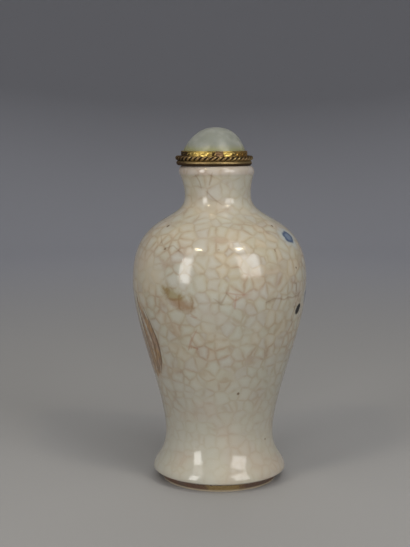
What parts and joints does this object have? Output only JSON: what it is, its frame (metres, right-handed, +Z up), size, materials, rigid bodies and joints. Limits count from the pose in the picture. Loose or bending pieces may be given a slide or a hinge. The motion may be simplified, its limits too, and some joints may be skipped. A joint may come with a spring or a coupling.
{
  "type": "snuff bottle",
  "caption": "Small hollow vase-shaped porcelain snuff bottle with a crackled glaze, closed by a corked stopper with a jade dome in a gilt mount.",
  "frame": {"origin": "centre of the foot ring's underside, on the surface the bottle stands on", "axes": "+Z up along the body's axis; -Y is the side that faces the viewer in the picture, and +X is to that viewer's right"},
  "size_m": [0.0376, 0.0376, 0.076],
  "materials": {
    "glaze": "glossy greenish-cream glaze with a net of brown and pink crackle, on porcelain, bare brown-grey ware at the foot's edge",
    "jade": "polished pale grey-green jade, slightly translucent",
    "gilt": "gilt brass, chased, worn and dark in its hollows",
    "cork": "matt brown cork"
  },
  "bodies": {
    "root": {"bottle": "glaze", "stopper_stone": "jade", "stopper_bezel": "gilt", "stopper_wire": "gilt", "stopper_plate": "gilt", "stopper_cork": "cork"}
  },
  "joints": []
}
